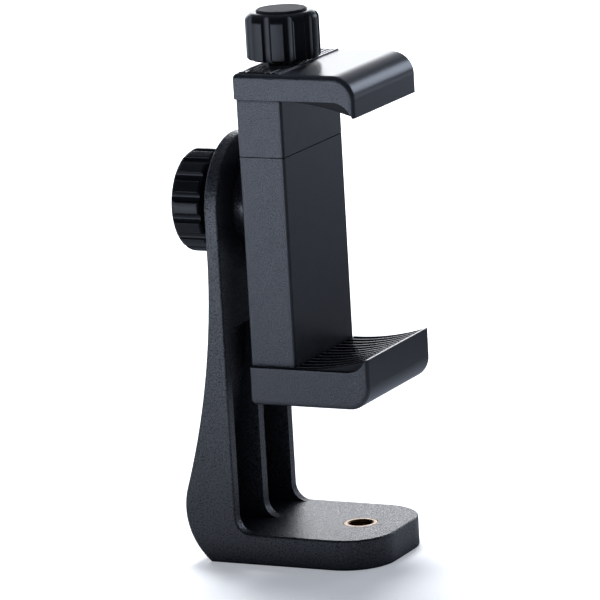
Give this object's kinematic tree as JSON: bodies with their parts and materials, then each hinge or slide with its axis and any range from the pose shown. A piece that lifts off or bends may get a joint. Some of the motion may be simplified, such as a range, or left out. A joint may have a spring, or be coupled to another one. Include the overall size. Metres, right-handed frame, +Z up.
{
  "type": "tripod phone mount adapter",
  "caption": "Angled plastic bracket with a brass tripod thread, carrying a turning phone clamp whose upper jaw is wound up and down by a fluted knob.",
  "frame": {"origin": "on the tripod thread's axis at the foot's underside", "axes": "+X forward from the upright to the tips of the jaws, +Y across the phone, +Z up"},
  "size_m": [0.0511, 0.034, 0.1268],
  "materials": {
    "textured_black_plastic": "fine spark-eroded texture",
    "smooth_black_plastic": "satin moulded",
    "black_rubber": "matt moulded",
    "brass": "turned",
    "zinc_plated_steel": "plated",
    "white_nylon": "natural nylon"
  },
  "bodies": {
    "bracket": {"bracket": "textured_black_plastic", "tripod_insert": "brass", "pivot_friction_washer": "black_rubber"},
    "rotation_knob": {"rotation_knob_grip": "smooth_black_plastic", "rotation_knob_cap": "textured_black_plastic", "rotation_bolt": "zinc_plated_steel", "rotation_knob_washer": "zinc_plated_steel"},
    "clamp": {"clamp_body": "textured_black_plastic", "clamp_back_cover": "textured_black_plastic", "back_cover_screws": "zinc_plated_steel", "pivot_insert": "brass", "lower_jaw_pad": "black_rubber", "drive_nut": "brass"},
    "upper_jaw": {"upper_jaw": "textured_black_plastic", "upper_jaw_pad": "black_rubber", "top_grip_strip": "black_rubber", "screw_bush": "brass"},
    "width_knob": {"width_knob_grip": "smooth_black_plastic", "width_knob_cap": "textured_black_plastic", "lead_screw": "zinc_plated_steel", "screw_thrust_washer": "white_nylon", "screw_retaining_clip": "zinc_plated_steel", "screw_end_stop": "zinc_plated_steel"}
  },
  "joints": [
    {"name": "clamp_rotation", "type": "hinge", "parent": "bracket", "child": "clamp", "pos_m": [-0.024, 0, 0.08175], "axis": [1, 0, 0], "continuous": true},
    {"name": "rotation_knob_turn", "type": "hinge", "parent": "bracket", "child": "rotation_knob", "pos_m": [-0.02725, 0, 0.08175], "axis": [-1, 0, 0], "range_deg": [0, 720]},
    {"name": "jaw_slide", "type": "slide", "parent": "clamp", "child": "upper_jaw", "axis": [0, 0, 1], "range_m": [0, 0.027]},
    {"name": "width_knob_turn", "type": "hinge", "parent": "upper_jaw", "child": "width_knob", "pos_m": [-0.01282, 0, 0.1146], "axis": [0, 0, 1], "range_deg": [0, 12150]}
  ],
  "couplings": [
    {"joint": "width_knob_turn", "follows": "jaw_slide", "rad_per_m": 7854}
  ]
}
